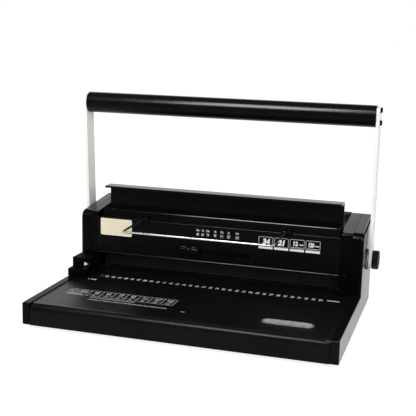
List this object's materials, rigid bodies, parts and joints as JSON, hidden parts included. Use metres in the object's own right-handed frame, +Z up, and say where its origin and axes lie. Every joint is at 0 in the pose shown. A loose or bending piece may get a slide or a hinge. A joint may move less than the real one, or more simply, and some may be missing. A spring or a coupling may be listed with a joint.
{
  "type": "wire binding machine",
  "caption": "Manual desk machine that punches square holes in paper with a pull handle and closes wire loops under a sliding plate.",
  "frame": {"origin": "on the ground, below the middle of the machine's overall box", "axes": "+Z up, X along the punched edge, the operator at -Y"},
  "size_m": [0.389, 0.247, 0.2552],
  "materials": {
    "black_paint": "gloss black paint",
    "satin_black": "satin black paint",
    "cream_paint": "off-white paint",
    "grip_foam": "smooth foam sleeve",
    "black_plastic": "black plastic",
    "bright_steel": "bright plated steel",
    "tool_steel": "ground steel",
    "zinc": "zinc plated",
    "core_alloy": "drawn alloy bar",
    "label_cream": "cream plate",
    "badge_silver": "brushed badge",
    "rubber": "black rubber"
  },
  "bodies": {
    "frame": {"base_pan": "satin_black", "table_plate": "black_paint", "die_plate": "tool_steel", "punch_stripper": "tool_steel", "front_cover": "black_paint", "low_front_panel": "satin_black", "rear_cover": "satin_black", "label_plate": "label_cream", "badge_plate": "badge_silver", "return_spring": "tool_steel", "left_side_panel": "black_paint", "left_end_housing": "satin_black", "left_front_foot": "rubber", "left_rear_foot": "rubber", "left_shaft_bush": "zinc", "left_pivot_boss": "zinc", "left_bail_clip": "black_plastic", "left_housing_screw": "black_plastic", "right_side_panel": "black_paint", "right_end_housing": "satin_black", "right_front_foot": "rubber", "right_rear_foot": "rubber", "right_shaft_bush": "zinc", "right_pivot_boss": "zinc", "right_bail_clip": "black_plastic", "right_housing_screw": "black_plastic"},
    "handle": {"main_shaft": "bright_steel", "grip_core": "core_alloy", "grip_sleeve": "grip_foam", "left_arm": "cream_paint", "left_hub_knob": "black_plastic", "left_closer_crank": "tool_steel", "left_punch_crank": "tool_steel", "left_upper_grip_screw": "black_plastic", "left_lower_grip_screw": "black_plastic", "right_arm": "cream_paint", "right_hub_knob": "black_plastic", "right_closer_crank": "tool_steel", "right_punch_crank": "tool_steel", "right_upper_grip_screw": "black_plastic", "right_lower_grip_screw": "black_plastic"},
    "closer": {"closer_plate": "satin_black"},
    "punch": {"punch_bar": "tool_steel"},
    "selector": {"size_knob": "black_plastic", "size_stop_bar": "zinc"},
    "guide": {"side_guide": "black_plastic"},
    "bail": {"wire_bail": "bright_steel"},
    "tray": {"chip_tray": "black_plastic"}
  },
  "joints": [
    {"name": "handle_pull", "type": "hinge", "parent": "frame", "child": "handle", "pos_m": [0, 0.0785, 0.067], "axis": [1, 0, 0], "range_deg": [0, 80], "stiffness_Nm_per_rad": 0.9, "springref_deg": -28.65},
    {"name": "closer_press", "type": "slide", "parent": "frame", "child": "closer", "axis": [0, 0, -1], "range_m": [0, 0.022]},
    {"name": "punch_drive", "type": "slide", "parent": "frame", "child": "punch", "axis": [0, 0, -1], "range_m": [0, 0.0121]},
    {"name": "size_slide", "type": "slide", "parent": "frame", "child": "selector", "axis": [1, 0, 0], "range_m": [0, 0.061]},
    {"name": "guide_slide", "type": "slide", "parent": "frame", "child": "guide", "axis": [1, 0, 0], "range_m": [-0.004, 0.004]},
    {"name": "bail_fold", "type": "hinge", "parent": "frame", "child": "bail", "pos_m": [-0.0026, 0.029, 0.103], "axis": [1, 0, 0], "range_deg": [0, 75]},
    {"name": "tray_slide", "type": "slide", "parent": "frame", "child": "tray", "axis": [0, 1, 0], "range_m": [0, 0.06]}
  ],
  "couplings": [
    {"joint": "closer_press", "follows": "handle_pull", "m_per_rad": 0.015756},
    {"joint": "punch_drive", "follows": "handle_pull", "m_per_rad": 0.0085944}
  ]
}
